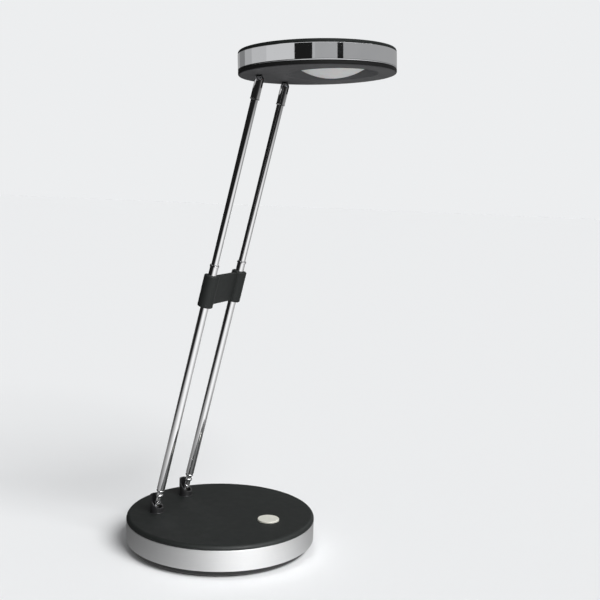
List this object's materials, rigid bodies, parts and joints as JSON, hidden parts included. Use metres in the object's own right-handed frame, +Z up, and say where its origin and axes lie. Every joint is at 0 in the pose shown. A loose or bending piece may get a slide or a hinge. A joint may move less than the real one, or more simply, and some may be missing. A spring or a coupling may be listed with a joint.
{
  "type": "desk lamp",
  "caption": "Desk lamp with a round weighted base, a telescopic arm of two parallel tubes and a round tilting LED head with a domed lens.",
  "frame": {"origin": "middle of the base's underside, on the surface that the lamp stands on", "axes": "+Z up, +X the way the arm leans and the head reaches, so that the lamp is symmetric about the XZ plane"},
  "size_m": [0.1771, 0.13, 0.3373],
  "materials": {
    "soft_black_plastic": "fine soft-touch texture",
    "satin_black_plastic": "satin moulded",
    "head_grey_plastic": "fine moulded texture",
    "satin_band": "satin silver",
    "button_silver": "satin silver",
    "chrome": "polished",
    "plain_steel": "zinc plated",
    "brass": "plain",
    "foot_rubber": "non-slip foam rubber",
    "board": "solder-masked laminate",
    "white_plastic": "white",
    "frosted_lens": "frosted translucent acrylic",
    "led_yellow": "phosphor",
    "heat_aluminium": "plain sheet",
    "wire_cover": "insulated wire"
  },
  "bodies": {
    "base": {"bottom_pan": "satin_black_plastic", "foot_pad": "foot_rubber", "trim_band": "satin_band", "top_cover": "soft_black_plastic", "ballast": "plain_steel", "ballast_screws": "plain_steel", "cover_screws": "plain_steel", "pivot_bracket": "plain_steel", "bracket_screws": "plain_steel", "pivot_pod_left": "soft_black_plastic", "pivot_pod_right": "soft_black_plastic", "pivot_pin_left": "plain_steel", "pivot_pin_right": "plain_steel", "contact_left": "brass", "contact_right": "brass", "driver_board": "board", "driver_parts": "satin_black_plastic", "driver_screws": "plain_steel", "switch_body": "satin_black_plastic", "dc_jack": "satin_black_plastic", "dc_pin": "brass", "base_wires": "wire_cover", "button_spring": "plain_steel"},
    "button": {"button_cap": "button_silver"},
    "lower_arm": {"rod_end_left": "chrome", "rod_end_right": "chrome", "lower_tube_left": "chrome", "lower_tube_right": "chrome", "tube_collar_left": "chrome", "tube_collar_right": "chrome", "bridge_clip": "soft_black_plastic"},
    "upper_arm": {"guide_bush_left": "brass", "guide_bush_right": "brass", "upper_tube_left": "chrome", "upper_tube_right": "chrome", "fork_sleeve_left": "chrome", "fork_sleeve_right": "chrome", "fork_pin_left": "plain_steel", "fork_pin_right": "plain_steel"},
    "head": {"head_top_cover": "soft_black_plastic", "head_ring": "chrome", "head_bottom_cover": "head_grey_plastic", "diffuser_lens": "frosted_lens", "reflector": "white_plastic", "led_board": "white_plastic", "led_chips": "led_yellow", "heat_plate": "heat_aluminium", "heat_plate_screws": "plain_steel", "head_lug_left": "soft_black_plastic", "head_lug_right": "soft_black_plastic", "lug_screws": "plain_steel", "head_wires": "wire_cover"}
  },
  "joints": [
    {"name": "base_tilt", "type": "hinge", "parent": "base", "child": "lower_arm", "pos_m": [-0.0393, 0, 0.0262], "axis": [0, 1, 0], "range_deg": [-18, 40]},
    {"name": "telescope", "type": "slide", "parent": "lower_arm", "child": "upper_arm", "axis": [0.2351, 0, 0.972], "range_m": [-0.108, 0]},
    {"name": "head_tilt", "type": "hinge", "parent": "upper_arm", "child": "head", "pos_m": [0.03058, 0, 0.31507], "axis": [0, 1, 0], "range_deg": [-45, 75]},
    {"name": "button_press", "type": "slide", "parent": "base", "child": "button", "axis": [0, 0, -1], "range_m": [0, 0.001], "stiffness_N_per_m": 400, "springref_m": -0.002, "deforming": ["button_spring"]}
  ]
}
